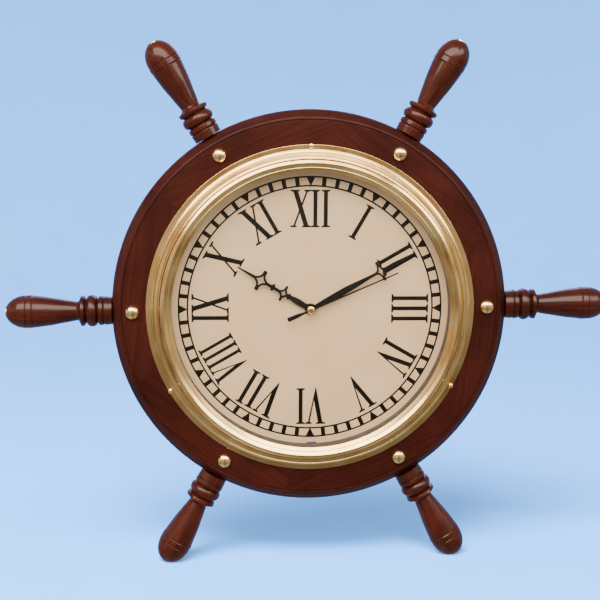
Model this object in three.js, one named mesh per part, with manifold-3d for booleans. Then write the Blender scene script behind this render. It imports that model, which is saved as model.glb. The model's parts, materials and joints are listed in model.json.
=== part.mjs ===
// Ship's-wheel deck clock: six turned handles in a segmented hardwood rim, a spun brass bezel with a
// flat glass, a roman dial on a board, and a one-cell quartz movement that drives three hands.
// Millimetres, +Z up, front towards -Y. Parts are drawn round the hands' axis, which runs along Y.
// Angles round the dial are clock angles: degrees clockwise from twelve, seen from the front.
import * as THREE from 'three';
import { mergeVertices } from 'three/addons/utils/BufferGeometryUtils.js';
import Module from 'manifold-3d';

const wasm = await Module();
wasm.setup();

// ---- driving dimensions ----
const GAP = 0.3; // air left between pieces that touch
const SPAN = 610; // across two opposite handle buttons
const HANDLE_ANGLES = [30, 90, 150, 210, 270, 330];
const TRIMMED = [150, 210]; // the handles that the clock stands on
const FOOT_Z = -264; // plane on which they are trimmed
const RIM = { outer: 198.7, bore: 150, rabbet: 160, front: -17, back: 17, shoulder: -7.7 };
const SIDES = { rim: 60, bezel: 48, face: 48, handle: 12 }; // facets round each turned piece
const FELLOES = 6;
const FIRST_JOINT = 8; // clock angle of the first glued joint, clear of handles, nails and hanger
const TENON = { radius: 6, root: 168.3, shoulder: 199 };
const DOME = { circle: 178, radius: 7.15, height: 5, shank: 2, shankEnd: -8.3 };
const NAIL = { angles: [0.5, 119.5, 240.5], circle: 162.8, radius: 2.8, shank: 0.9, shankEnd: -10 };
const BOARD = { radius: 159.5, front: -7.4, back: -1.4 };
const BOARD_SCREW = { angles: [45, 165, 285], circle: 155, head: 3, shank: 1.5, tip: -13 };
const GLASS = { radius: 145.8, front: -28.1, back: -25.6 };
const DIAL = { radius: 145.8, front: -8.5, back: -7.7 };
const CREST = -33; // foremost ring of the bezel
const SPACER = { outer: 145.8, inner: 139.5, sheet: 1.1, lug: 138.1, lugWidth: 10 };
const HANGER = { width: 22, low: 160.5, high: 195.5, front: 13.5, back: 15, screws: [164, 192] };
const HANGER_KEY = { centre: 172, radius: 4.5, slotTop: 184, slotRadius: 2.25 };
const HANGER_POCKET = { half: 7, front: 6, low: 167, high: 187, pilot: 1.7, pilotFront: 2 };

// Movement: its front face, and depths behind that face
const MOVEMENT_Y = 0.2;
const CASE = { half: 28, wall: 1.4, depth: 15, bayTop: -10.4 };
const BUSHING = { outer: 3.9, inner: 2.85, front: -11.5 };
const HOUR_TUBE = { outer: 2.5, inner: 1.9, front: -12.6 };
const MINUTE_TUBE = { outer: 1.55, inner: 0.85, front: -15.2 };
const SECOND_ARBOR = { radius: 0.5, front: -19.6 };
const CELL = { radius: 7.1, length: 49.5, z: -19.15, depth: 8.9, nub: 2.7 };
const COIL = { x: 21.5, low: 7, high: 24, wire: 3, half: 3.6, flange: 0.8, depth: 8 };
const HAND_ANGLE = { hour: 301, minute: 62, second: 67.5 };

// Wheel train: pitch-circle module of each mesh and where its arbor stands, seen from the front
const TRAIN = {
  motion: { module: 0.6, hourModule: 0.48, distance: 9.6, direction: 45 },
  third: { module: 0.4, secondsModule: 0.4235, distance: 10.8, direction: 150 },
  intermediate: { module: 0.5, distance: 9, direction: 30 },
  rotor: { module: 0.42, distance: 8.82, direction: -20 },
};

// ---- small helpers ----
const rad = THREE.MathUtils.degToRad;

function clockPoint(angle, radius, y = 0) {
  return new THREE.Vector3(radius * Math.sin(rad(angle)), y, radius * Math.cos(rad(angle)));
}

// Welds a geometry down to bare positions and drops the slivers left on a lathe's axis
function welded(geometry) {
  const bare = geometry.clone();
  bare.deleteAttribute('normal');
  bare.deleteAttribute('uv');
  const merged = mergeVertices(bare, 1e-4);
  const index = merged.index.array;
  const kept = [];
  for (let i = 0; i < index.length; i += 3) {
    const [a, b, c] = index.slice(i, i + 3);
    if (a !== b && b !== c && c !== a) kept.push(a, b, c);
  }
  merged.setIndex(kept);
  return merged;
}

function toSolid(geometry) {
  const merged = welded(geometry);
  return new wasm.Manifold(new wasm.Mesh({
    numProp: 3,
    vertProperties: merged.attributes.position.array,
    triVerts: new Uint32Array(merged.index.array),
  }));
}

function toGeometry(solid) {
  const mesh = solid.getMesh();
  const geometry = new THREE.BufferGeometry();
  geometry.setAttribute('position', new THREE.BufferAttribute(mesh.vertProperties, mesh.numProp));
  geometry.setIndex(new THREE.BufferAttribute(mesh.triVerts, 1));
  geometry.computeVertexNormals();
  return geometry;
}

function joined(geometries) {
  const solids = geometries.map(toSolid);
  return solids.reduce((whole, solid) => whole.add(solid));
}

function cut(solid, cutters) {
  return cutters.reduce((left, cutter) => left.subtract(toSolid(cutter)), solid);
}

// Turned ring or disc about Y from [radius, y] points, anticlockwise with radius to the right
function turned(profile, segments) {
  const points = profile.map(([radius, y]) => new THREE.Vector2(radius, y));
  return welded(new THREE.LatheGeometry(points, segments));
}

function ring(inner, outer, front, back, segments) {
  return turned([[inner, front], [outer, front], [outer, back], [inner, back], [inner, front]], segments);
}

function rod(radius, front, back, x = 0, z = 0, sides = 16) {
  const geometry = new THREE.CylinderGeometry(radius, radius, back - front, sides);
  return geometry.translate(x, (front + back) / 2, z);
}

function block(x0, x1, y0, y1, z0, z1) {
  const geometry = new THREE.BoxGeometry(x1 - x0, y1 - y0, z1 - z0);
  return geometry.translate((x0 + x1) / 2, (y0 + y1) / 2, (z0 + z1) / 2);
}

// Flat plate of an outline drawn in X and Z, from front to back along Y
function plate(shape, front, back, curveSegments = 10) {
  const options = { depth: back - front, bevelEnabled: false, curveSegments };
  return new THREE.ExtrudeGeometry(shape, options).rotateX(Math.PI / 2).translate(0, back, 0);
}

function polygon(points) {
  return new THREE.Shape(points.map(([x, z]) => new THREE.Vector2(x, z)));
}

function circleHole(shape, x, z, radius) {
  shape.holes.push(new THREE.Path().absarc(x, z, radius, 0, 2 * Math.PI, true));
}

const FINISH = {
  wood: { color: 0x5a2018, roughness: 0.35, metalness: 0 },
  brass: { color: 0xc79a4e, roughness: 0.2, metalness: 1 },
  bronzed: { color: 0x453c3a, roughness: 0.55, metalness: 0.3 },
  glass: { color: 0xeef4f2, roughness: 0.05, metalness: 0, transparent: true, opacity: 0.25 },
  dial: { color: 0xd9cbb4, roughness: 0.6, metalness: 0 },
  board: { color: 0x8a6b4a, roughness: 0.8, metalness: 0 },
  steel: { color: 0x9a9da0, roughness: 0.35, metalness: 1 },
  hand: { color: 0x16120f, roughness: 0.45, metalness: 0.2 },
  blackPlastic: { color: 0x1b1b1d, roughness: 0.5, metalness: 0 },
  whitePlastic: { color: 0xe4e2da, roughness: 0.5, metalness: 0 },
  rubber: { color: 0x222222, roughness: 0.9, metalness: 0 },
  copper: { color: 0xa8552e, roughness: 0.3, metalness: 1 },
  circuit: { color: 0x1f5a38, roughness: 0.5, metalness: 0 },
  cell: { color: 0x3c4a58, roughness: 0.35, metalness: 0.3 },
};

const clock = new THREE.Group();
const wheel = new THREE.Group();
const face = new THREE.Group();
const movement = new THREE.Group();
const hands = new THREE.Group();
clock.add(wheel, face, movement, hands);

function addPart(group, name, geometry, finish) {
  const mesh = new THREE.Mesh(geometry, new THREE.MeshStandardMaterial(FINISH[finish]));
  mesh.name = name;
  group.add(mesh);
  return mesh;
}

// ---- wheel: rim, handles and their brass trim ----

// Rim section: flat face with a fine groove near the edge, a wide chamfer, and a rabbet behind
function rimProfile() {
  const { outer, bore, rabbet, front, back, shoulder } = RIM;
  return [
    [bore, front], [187.5, front], [188, front + 0.8], [188.8, front + 0.8], [189.3, front],
    [190.8, front + 0.35], [191.8, front + 1.2], [197.4, front + 7.4], [outer, front + 10],
    [outer, back - 2.5], [outer - 2.5, back], [rabbet, back], [rabbet, shoulder], [bore, shoulder],
    [bore, front],
  ];
}

function tenonBore(angle) {
  const depth = 40;
  const geometry = new THREE.CylinderGeometry(TENON.radius + GAP, TENON.radius + GAP, depth, 16);
  geometry.translate(0, TENON.root - GAP + depth / 2, 0);
  return geometry.applyQuaternion(handleTurn(angle));
}

function hangerPockets() {
  const side = HANGER.width / 2 + GAP;
  const { half, front, low, high, pilot, pilotFront } = HANGER_POCKET;
  return [
    block(-side, side, HANGER.front - GAP, RIM.back + 1, HANGER.low - GAP, HANGER.high + GAP),
    block(-half, half, front, RIM.back, low, high),
    ...HANGER.screws.map((z) => rod(pilot, pilotFront, RIM.back, 0, z, 8)),
  ];
}

function rimFelloe(ringSolid, angle) {
  const reach = 300;
  const half = 180 / FELLOES;
  const apex = clockPoint(angle, GAP / 2 / Math.sin(rad(half)));
  const corners = [-half, 0, half].map((offset) => {
    const corner = clockPoint(angle + offset, reach);
    return [apex.x + corner.x, apex.z + corner.z];
  });
  const wedge = plate(polygon([[apex.x, apex.z], ...corners]), RIM.front - 1, RIM.back + 1);
  return toGeometry(ringSolid.intersect(toSolid(wedge)));
}

function addRim() {
  const shanks = HANDLE_ANGLES.map((angle) => clockPoint(angle, DOME.circle));
  const nails = NAIL.angles.map((angle) => clockPoint(angle, NAIL.circle));
  const screws = BOARD_SCREW.angles.map((angle) => clockPoint(angle, BOARD_SCREW.circle));
  const bored = cut(toSolid(turned(rimProfile(), SIDES.rim)), [
    ...HANDLE_ANGLES.map(tenonBore),
    ...shanks.map((at) => rod(DOME.shank + GAP, RIM.front - 1, DOME.shankEnd + GAP, at.x, at.z, 10)),
    ...nails.map((at) => rod(NAIL.shank + GAP, RIM.front - 1, NAIL.shankEnd + GAP, at.x, at.z, 8)),
    ...screws.map((at) => rod(BOARD_SCREW.shank + GAP, BOARD_SCREW.tip - GAP, 0, at.x, at.z, 8)),
    ...hangerPockets(),
  ]);
  for (let index = 0; index < FELLOES; index += 1) {
    const angle = FIRST_JOINT + (index + 0.5) * (360 / FELLOES);
    addPart(wheel, `rim_segment_${index + 1}`, rimFelloe(bored, angle), 'wood');
  }
}

function handleTurn(angle) {
  return new THREE.Quaternion().setFromUnitVectors(new THREE.Vector3(0, 1, 0), clockPoint(angle, 1));
}

// Turned handle: [radius, distance from the hands' axis], tenon, base rings, bead, collar and grip
const GRIP_END = 303.5;
function handleProfile() {
  const points = [[0, TENON.root], [TENON.radius, TENON.root], [TENON.radius, TENON.shoulder]];
  points.push([7, TENON.shoulder], [7, 200.8], [13.8, 200.8], [14.5, 206.3], [13.2, 207.2], [14.6, 208.2]);
  points.push([14.6, 212], [11.8, 213.3], [14.6, 215.6], [16, 219], [14.6, 222.4], [11.8, 224.8]);
  points.push([14.9, 226.5], [15.6, 229.6], [10.6, 232], [9.4, 233.6], [13.6, 257]);
  points.push([16.1, 276.4], [15.5, 277.3], [16.5, 278.2], [16.5, 283]);
  const dome = { start: 284.4, length: 21, radius: 16.4 };
  for (let step = 0; step <= 3; step += 1) {
    const s = dome.start + (GRIP_END - dome.start) * Math.sin((step / 3) * (Math.PI / 2));
    points.push([dome.radius * Math.sqrt(1 - ((s - dome.start) / dome.length) ** 2), s]);
  }
  points.push([0, GRIP_END]);
  return points;
}

function addHandles() {
  const blank = turned(handleProfile(), SIDES.handle);
  const reach = 400;
  const floor = block(-reach, reach, -reach, reach, FOOT_Z - reach, FOOT_Z);
  const pinHole = rod(1.5 + GAP, 296, GRIP_END + 1, 0, 0, 8);
  HANDLE_ANGLES.forEach((angle) => {
    const name = `handle_${String(angle).padStart(3, '0')}`;
    const placed = toSolid(blank.clone().applyQuaternion(handleTurn(angle)));
    if (TRIMMED.includes(angle)) {
      addPart(wheel, name, toGeometry(cut(placed, [floor])), 'wood');
    } else {
      const hole = pinHole.clone().applyQuaternion(handleTurn(angle));
      addPart(wheel, name, toGeometry(cut(placed, [hole])), 'wood');
      const button = addPart(wheel, `handle_button_${name.slice(-3)}`, buttonGeometry(), 'brass');
      button.quaternion.copy(handleTurn(angle));
    }
  });
}

function buttonGeometry() {
  const seat = GRIP_END + GAP;
  const tip = SPAN / 2;
  return turned([[0, 297], [1.5, 297], [1.5, seat], [6.25, seat], [6.2, tip - 0.6], [4.5, tip - 0.1],
    [0, tip]], 12);
}

// Brass dome on a shank, its crown towards -Y
function domeGeometry() {
  const seat = RIM.front - GAP;
  const points = [[0, seat - DOME.height]];
  for (let step = 1; step <= 3; step += 1) {
    const turn = (step / 3) * (Math.PI / 2);
    points.push([DOME.radius * Math.sin(turn), seat - DOME.height * Math.cos(turn)]);
  }
  points.push([DOME.shank, seat], [DOME.shank, DOME.shankEnd], [0, DOME.shankEnd]);
  return turned(points, 12);
}

function addDomes() {
  const geometry = domeGeometry();
  HANDLE_ANGLES.forEach((angle) => {
    const dome = addPart(wheel, `dome_${String(angle).padStart(3, '0')}`, geometry, 'brass');
    dome.position.copy(clockPoint(angle, DOME.circle));
  });
}

function addHanger() {
  const side = HANGER.width / 2;
  const { low, high } = HANGER;
  const outline = polygon([[-side, low], [side, low], [side, high], [-side, high]]);
  HANGER.screws.forEach((z) => circleHole(outline, 0, z, 1.9));
  const keyhole = new THREE.Path();
  const spread = Math.asin(HANGER_KEY.slotRadius / HANGER_KEY.radius);
  const { centre, radius, slotTop, slotRadius } = HANGER_KEY;
  keyhole.absarc(0, centre, radius, Math.PI / 2 - spread, Math.PI / 2 + spread, true);
  keyhole.absarc(0, slotTop, slotRadius, Math.PI, 0, true);
  keyhole.closePath();
  outline.holes.push(keyhole);
  addPart(wheel, 'hanger_plate', plate(outline, HANGER.front, HANGER.back), 'steel');
  HANGER.screws.forEach((z, index) => {
    const head = HANGER.back + GAP;
    const screw = turned([[0, 3], [1.4, 4.5], [1.4, head], [3, head], [2.4, head + 1.3],
      [0, head + 1.5]], 12);
    addPart(wheel, `hanger_screw_${index + 1}`, screw, 'steel').position.set(0, 0, z);
  });
}

// ---- face: bezel, glass, spacer, dial and board ----

// Spun shell: a lip over the glass that rises to a high crest, a steep drop to two stepped beads, a
// flat nailed flange, and a skirt that reaches down through the rim's bore
function bezelProfile() {
  const seat = RIM.front - GAP;
  const lip = GLASS.front - GAP;
  return [
    [164.5, seat], [159.2, seat], [158.4, -19.9], [152.2, -22.6], [150.2, -23.8], [149.6, -29.6],
    [148.4, -30.6], [147.5, -30.2], [147.5, -8], [146.3, -8], [146.3, lip], [138.6, lip],
    [138.6, lip - 0.8], [142.3, -31], [142.7, -30.8], [145.3, -32.5], [146.2, CREST], [147.4, -32.8],
    [149.8, -31.4], [150.9, -29.4], [151.4, -24.6], [152.4, -24], [153, -24.6], [156.1, -23.2],
    [156.6, -21.9], [157.2, -22.2], [159, -21.2], [159.6, -19], [164.2, -18.7], [164.5, -18.2],
    [164.5, seat],
  ];
}

function addBezel() {
  const nails = NAIL.angles.map((angle) => clockPoint(angle, NAIL.circle));
  const holes = nails.map((at) => rod(NAIL.shank + GAP, -22, RIM.front, at.x, at.z, 8));
  addPart(face, 'bezel', toGeometry(cut(toSolid(turned(bezelProfile(), SIDES.bezel)), holes)), 'brass');
  const seat = -19 - GAP;
  const nail = turned([[0, seat - 1.6], [1.7, seat - 1.2], [NAIL.radius, seat], [NAIL.shank, seat],
    [NAIL.shank, NAIL.shankEnd], [0, NAIL.shankEnd]], 10);
  nails.forEach((at, index) => {
    addPart(face, `bezel_nail_${index + 1}`, nail, 'brass').position.copy(at);
  });
}

function addGlass() {
  const { radius, front, back } = GLASS;
  const pane = turned([[0, front], [radius, front], [radius, back], [0, back]], SIDES.face);
  addPart(face, 'glass', pane, 'glass');
}

// Sheet ring that keeps the glass off the dial: a wall with a flange at each end, and one lug at six
function addSpacer() {
  const front = GLASS.back + GAP;
  const back = DIAL.front - GAP;
  const { outer, inner, sheet, lug, lugWidth } = SPACER;
  const channel = turned([
    [inner, front], [outer, front], [outer, front + sheet], [inner + sheet, front + sheet],
    [inner + sheet, back - sheet], [outer, back - sheet], [outer, back], [inner, back], [inner, front],
  ], SIDES.face);
  const tab = block(-lugWidth / 2, lugWidth / 2, back - 2, back, -(inner + sheet / 2), -lug);
  addPart(face, 'spacer_ring', toGeometry(joined([channel, tab])), 'bronzed');
}

function addDial() {
  const clear = BUSHING.outer + GAP;
  addPart(face, 'dial_plate', ring(clear, DIAL.radius, DIAL.front, DIAL.back, SIDES.face), 'dial');
  const screws = BOARD_SCREW.angles.map((angle) => clockPoint(angle, BOARD_SCREW.circle));
  const holes = screws.map((at) => rod(BOARD_SCREW.shank + GAP, -9, 0, at.x, at.z, 8));
  const board = toSolid(ring(clear, BOARD.radius, BOARD.front, BOARD.back, SIDES.face));
  addPart(face, 'dial_board', toGeometry(cut(board, holes)), 'board');
  const seat = BOARD.back + GAP;
  const screw = turned([[0, BOARD_SCREW.tip], [BOARD_SCREW.shank, BOARD_SCREW.tip + 2],
    [BOARD_SCREW.shank, seat], [BOARD_SCREW.head, seat], [2.4, seat + 1.4], [0, seat + 1.7]], 12);
  screws.forEach((at, index) => {
    addPart(face, `board_screw_${index + 1}`, screw, 'steel').position.copy(at);
  });
}

// ---- movement ----
const depth = (value) => MOVEMENT_Y + value;

// Where each arbor stands, in X and Z
function arborAt({ distance, direction }, from = { x: 0, z: 0 }) {
  return {
    x: from.x + distance * Math.cos(rad(direction)),
    z: from.z + distance * Math.sin(rad(direction)),
  };
}
const AXIS = { x: 0, z: 0 };
const MOTION_AT = arborAt(TRAIN.motion);
const KNOB_AT = arborAt(TRAIN.motion, MOTION_AT);
const THIRD_AT = arborAt(TRAIN.third);
const INTERMEDIATE_AT = arborAt(TRAIN.intermediate);
const ROTOR_AT = arborAt(TRAIN.rotor, INTERMEDIATE_AT);

// Toothed outline with straight-flanked pointed teeth; phase is the angle of one tooth's tip
function gearShape(teeth, module, phase, at) {
  const pitch = (2 * Math.PI) / teeth;
  const rootRadius = (module * teeth) / 2 - 1.1 * module;
  const tipRadius = (module * teeth) / 2 + 0.8 * module;
  const points = [];
  for (let tooth = 0; tooth < teeth; tooth += 1) {
    [[-0.5, rootRadius], [0, tipRadius]].forEach(([share, radius]) => {
      const angle = phase + (tooth + share) * pitch;
      points.push([at.x + radius * Math.cos(angle), at.z + radius * Math.sin(angle)]);
    });
  }
  return polygon(points);
}

function gear(teeth, module, phase, at, front, back) {
  return plate(gearShape(teeth, module, phase, at), depth(front), depth(back));
}

// Phase that puts a gap of gear B opposite a tooth of gear A, B standing in direction from A
function meshPhase(phaseA, teethA, teethB, direction) {
  const theta = rad(direction);
  return theta + Math.PI - ((phaseA - theta) * teethA) / teethB + Math.PI / teethB;
}

function arbor(radius, front, back, at) {
  return rod(radius, depth(front), depth(back), at.x, at.z, 12);
}

// Housing: open at the back, a wall above the cell's bay, the threaded bushing in front, a post for
// the motion wheel, a pad for the circuit board and a ledge that carries the fast wheels' front pivots
function addCase() {
  const { half, wall, bayTop } = CASE;
  const shell = toSolid(block(-half, half, depth(0), depth(CASE.depth), -half, half));
  const room = half - wall;
  const hollowed = cut(shell, [
    block(-room, room, depth(wall), depth(CASE.depth) + 1, bayTop, room),
    block(-room, room, depth(wall), depth(CASE.depth) + 1, -room, bayTop - 1.2),
  ]);
  const body = [
    rod(BUSHING.outer, BUSHING.front, depth(0.5), 0, 0, 20),
    arbor(0.6, 0.5, 4.5, MOTION_AT),
    block(-22, 4, depth(0.5), depth(4.7), 19, 24),
    block(6, half - 0.5, depth(7.5), depth(8.1), -6, 6),
  ].reduce((whole, piece) => whole.add(toSolid(piece)), hollowed);
  const drilled = cut(body, [
    rod(BUSHING.inner, BUSHING.front - 1, depth(wall + 0.2), 0, 0, 20),
    arbor(0.8, 0.4, wall + 0.2, THIRD_AT),
    arbor(1.3, 0.4, wall + 0.2, KNOB_AT),
    arbor(0.8, 7, 9, INTERMEDIATE_AT),
    arbor(0.8, 7, 9, ROTOR_AT),
  ]);
  addPart(movement, 'movement_case', toGeometry(drilled), 'blackPlastic');
}

function addCover() {
  const room = CASE.half - CASE.wall - GAP;
  const lid = toSolid(block(-room, room, depth(13.8), depth(CASE.depth), CASE.bayTop + GAP, room));
  const pivots = [AXIS, THIRD_AT, INTERMEDIATE_AT, ROTOR_AT].map((at) => arbor(0.8, 13, 14.5, at));
  addPart(movement, 'movement_back', toGeometry(cut(lid, [...pivots, arbor(1.3, 13, 16, KNOB_AT)])),
    'blackPlastic');
}

function hexagon(acrossFlats) {
  const corner = acrossFlats / Math.sqrt(3);
  return polygon([0, 60, 120, 180, 240, 300].map((angle) => {
    return [corner * Math.cos(rad(angle)), corner * Math.sin(rad(angle))];
  }));
}

function addFixings() {
  const washer = ring(BUSHING.outer + 0.4, 9, -1.1, -0.1, 24);
  addPart(movement, 'rubber_washer', washer, 'rubber');
  const nut = hexagon(11);
  circleHole(nut, 0, 0, BUSHING.outer + GAP);
  addPart(movement, 'bushing_nut', plate(nut, -10.8, -8.8), 'brass');
}

// Hand-setting works: minute arbor with its pinion, motion wheel, hour wheel and the setting knob
function addMotionWork() {
  const { module, hourModule, direction } = TRAIN.motion;
  const { outer, inner, front } = MINUTE_TUBE;
  const minute = joined([rod(outer, front, depth(4.6), 0, 0, 12), gear(8, module, 0, AXIS, 3.2, 4.5)]);
  const bored = cut(minute, [rod(inner, front - 1, depth(5), 0, 0, 12)]);
  addPart(movement, 'minute_arbor', toGeometry(bored), 'steel');

  const wheelPhase = meshPhase(0, 8, 24, direction);
  const motionWheel = joined([
    gear(24, module, wheelPhase, MOTION_AT, 3.3, 4.3),
    gear(8, hourModule, 0, MOTION_AT, 1.7, 3.4),
  ]);
  addPart(movement, 'motion_wheel', toGeometry(cut(motionWheel, [arbor(0.9, 1, 5, MOTION_AT)])),
    'whitePlastic');

  const hourPhase = meshPhase(0, 8, 32, direction + 180);
  const hourSolid = joined([
    gear(32, hourModule, hourPhase, AXIS, 1.8, 2.8),
    rod(HOUR_TUBE.outer, HOUR_TUBE.front, depth(2.8), 0, 0, 16),
  ]);
  const hourBored = cut(hourSolid, [rod(HOUR_TUBE.inner, HOUR_TUBE.front - 1, depth(3), 0, 0, 16)]);
  addPart(movement, 'hour_wheel', toGeometry(hourBored), 'whitePlastic');

  const knobPhase = meshPhase(wheelPhase, 24, 8, direction);
  const knob = joined([
    gear(8, module, knobPhase, KNOB_AT, 3.2, 4.4),
    arbor(1, 0.7, 15.6, KNOB_AT),
    gear(16, 0.55, 0, KNOB_AT, 15.3, 16.5),
  ]);
  addPart(movement, 'set_knob', toGeometry(knob), 'whitePlastic');
}

// Going train from the stepping rotor down to the centre wheel
function addTrain() {
  const { third, intermediate, rotor } = TRAIN;
  addPart(movement, 'seconds_wheel', toGeometry(joined([
    gear(30, intermediate.module, 0, AXIS, 8.4, 9.2),
    gear(6, third.secondsModule, 0, AXIS, 6.6, 8.5),
    rod(SECOND_ARBOR.radius, SECOND_ARBOR.front, depth(14.3), 0, 0, 10),
  ])), 'whitePlastic');
  addPart(movement, 'third_wheel', toGeometry(joined([
    gear(45, third.secondsModule, meshPhase(0, 6, 45, third.direction), THIRD_AT, 6.7, 7.5),
    gear(6, third.module, 0, THIRD_AT, 4.8, 6.8),
    arbor(0.5, 0.7, 14.3, THIRD_AT),
  ])), 'whitePlastic');
  const centrePhase = meshPhase(0, 6, 48, third.direction + 180);
  const centre = toSolid(gear(48, third.module, centrePhase, AXIS, 4.9, 5.7));
  addPart(movement, 'centre_wheel', toGeometry(cut(centre, [arbor(0.85, 4, 7, AXIS)])), 'whitePlastic');
  addPart(movement, 'intermediate_wheel', toGeometry(joined([
    gear(6, intermediate.module, meshPhase(0, 30, 6, intermediate.direction), INTERMEDIATE_AT, 8.4, 10),
    gear(36, rotor.module, 0, INTERMEDIATE_AT, 9.9, 10.7),
    arbor(0.5, 7.6, 14.3, INTERMEDIATE_AT),
  ])), 'whitePlastic');
  addPart(movement, 'rotor', toGeometry(joined([
    gear(6, rotor.module, meshPhase(0, 36, 6, rotor.direction), ROTOR_AT, 9.8, 11.4),
    arbor(3, 11.3, 13.3, ROTOR_AT),
    arbor(0.5, 7.6, 14.3, ROTOR_AT),
  ])), 'steel');
}

// Stepping motor and its circuit: wound coil on a bobbin, stator round the rotor, circuit board
function addMotor() {
  const { x, low, high, wire, half, flange } = COIL;
  const middle = depth(COIL.depth);
  const wound = new THREE.CylinderGeometry(wire, wire, high - low, 14);
  wound.rotateX(Math.PI / 2).translate(x, middle, (low + high) / 2);
  const cheek = (z) => block(x - half, x + half, middle - half, middle + half, z, z + flange);
  const bobbin = joined([wound, cheek(low), cheek(high - flange)]);
  addPart(movement, 'coil', toGeometry(bobbin), 'copper');
  const stator = polygon([[10.8, -3.2], [26, -3.2], [26, 25.5], [19, 25.5], [19, 6.2], [10.8, 6.2]]);
  circleHole(stator, ROTOR_AT.x, ROTOR_AT.z, 3.5);
  addPart(movement, 'stator', plate(stator, depth(11.9), depth(12.6)), 'steel');
  addPart(movement, 'circuit_board', block(-24, 6, depth(5), depth(6), 17.5, 26), 'circuit');
}

function alongX(radius, x0, x1, sides) {
  const geometry = new THREE.CylinderGeometry(radius, radius, x1 - x0, sides);
  return geometry.rotateZ(Math.PI / 2).translate((x0 + x1) / 2, depth(CELL.depth), CELL.z);
}

function addCell() {
  const end = CELL.length / 2;
  const cell = joined([alongX(CELL.radius, -end, end - 1, 24), alongX(CELL.nub, end - 2, end, 12)]);
  addPart(movement, 'battery', toGeometry(cell), 'cell');
  const low = depth(CASE.wall + GAP);
  const high = depth(CASE.depth - 1);
  const wallX = CASE.half - CASE.wall - GAP;
  const strip = (x0, x1) => block(x0, x1, low, high, CELL.z - 4, CELL.z + 4);
  const spring = joined([strip(-wallX, -wallX + 0.4), alongX(2.6, -wallX + 0.1, -end - GAP, 12)]);
  addPart(movement, 'contact_spring', toGeometry(spring), 'steel');
  addPart(movement, 'contact_plate', strip(wallX - 0.5, wallX), 'steel');
}

// ---- hands, drawn pointing at twelve ----

// Closed outline from [along, half width] points on one side, mirrored to the other
function bladeShape(halfOutline) {
  const right = halfOutline.map(([along, half]) => [half, along]);
  const left = halfOutline.map(([along, half]) => [-half, along]).reverse();
  return polygon([...right, ...left]);
}

// How far a star's sides are drawn in: the curves' middle control, as a share of the star's size
const STAR_WAIST = 0.17;

// One side of a hollow star set across the hand: an inward curve out to a small ball, and back
function starSide({ at, along, across, ball, stem }) {
  const ballStart = rad(125);
  const foot = { half: across / 2 + ball * Math.cos(ballStart), back: ball * Math.sin(ballStart) };
  const lower = [0, 0.35, 0.7].map((t) => {
    const start = (1 - t) ** 2;
    const end = t ** 2;
    const ends = { half: start * stem + end * foot.half, back: start * (along / 2) + end * foot.back };
    const pull = 2 * t * (1 - t) * STAR_WAIST;
    return [at - ends.back - pull * along, ends.half + pull * across];
  });
  const ballArc = [-1, -0.5, 0, 0.5, 1].map((share) => {
    const turn = share * ballStart;
    return [at + ball * Math.sin(turn), across / 2 + ball * Math.cos(turn)];
  });
  const upper = lower.map(([place, half]) => [2 * at - place, half]).reverse();
  return [...lower, ...ballArc, ...upper];
}

// Opening inside a star, with the same hollow sides
function starHole(shape, { at, hole }) {
  const [along, across] = hole.map((size) => size / 2);
  const waist = 0.25 + STAR_WAIST;
  const bend = { x: across * waist, z: along * waist };
  const corners = [[0, along], [bend.x, bend.z], [across, 0], [bend.x, -bend.z]];
  const points = [...corners, ...corners.map(([x, z]) => [-x, -z])];
  shape.holes.push(new THREE.Path(points.map(([x, z]) => new THREE.Vector2(x, at + z))));
}

function handGeometry({ outline, stars }, hubRadius, hole, front, back) {
  const shape = bladeShape(outline);
  stars.forEach((star) => starHole(shape, star));
  const whole = toSolid(plate(shape, front, back)).add(toSolid(rod(hubRadius, front, back, 0, 0, 20)));
  return toGeometry(cut(whole, [rod(hole, front - 1, back + 1, 0, 0, 14)]));
}

const SMALL_STAR = { at: 31.8, along: 9.8, across: 14, ball: 1.5, stem: 1.6, hole: [5.8, 6.2] };
const LARGE_STAR = { at: 58, along: 14.7, across: 17.6, ball: 2.2, stem: 1.6, hole: [10.2, 11] };
const MINUTE_STAR = { at: 80, along: 9.4, across: 18, ball: 1.7, stem: 1.6, hole: [5.4, 10.6] };
const HOUR_BLADE = {
  stars: [SMALL_STAR, LARGE_STAR],
  outline: [
    [4, 2.6], [8, 2.9], [15.5, 3.25], [20, 2.8], [24.2, 2.1], [24.8, 3.2], [26.4, 3.2],
    ...starSide(SMALL_STAR), [42.3, 1.7], [42.8, 3.6], [45.4, 3.6], [45.8, 1.7], ...starSide(LARGE_STAR),
    [69, 1.5], [75, 1.1], [85, 0.6],
  ],
};
const MINUTE_BLADE = {
  stars: [MINUTE_STAR],
  outline: [[4, 2.1], [8, 2.3], [20, 2.9], [38, 3.4], [50, 2.9], [60, 2.2], [69, 1.6],
    ...starSide(MINUTE_STAR), [95, 1.9], [118, 0.5]],
};
const SECOND_BLADE = {
  stars: [],
  outline: [[-25.4, 1.4], [-24.4, 2.3], [-14, 2], [-8.6, 1.2], [8, 0.9], [95, 0.7]],
};

function addHand(name, geometry, angle, finish) {
  addPart(hands, name, geometry, finish).rotation.y = rad(angle);
}

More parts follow.
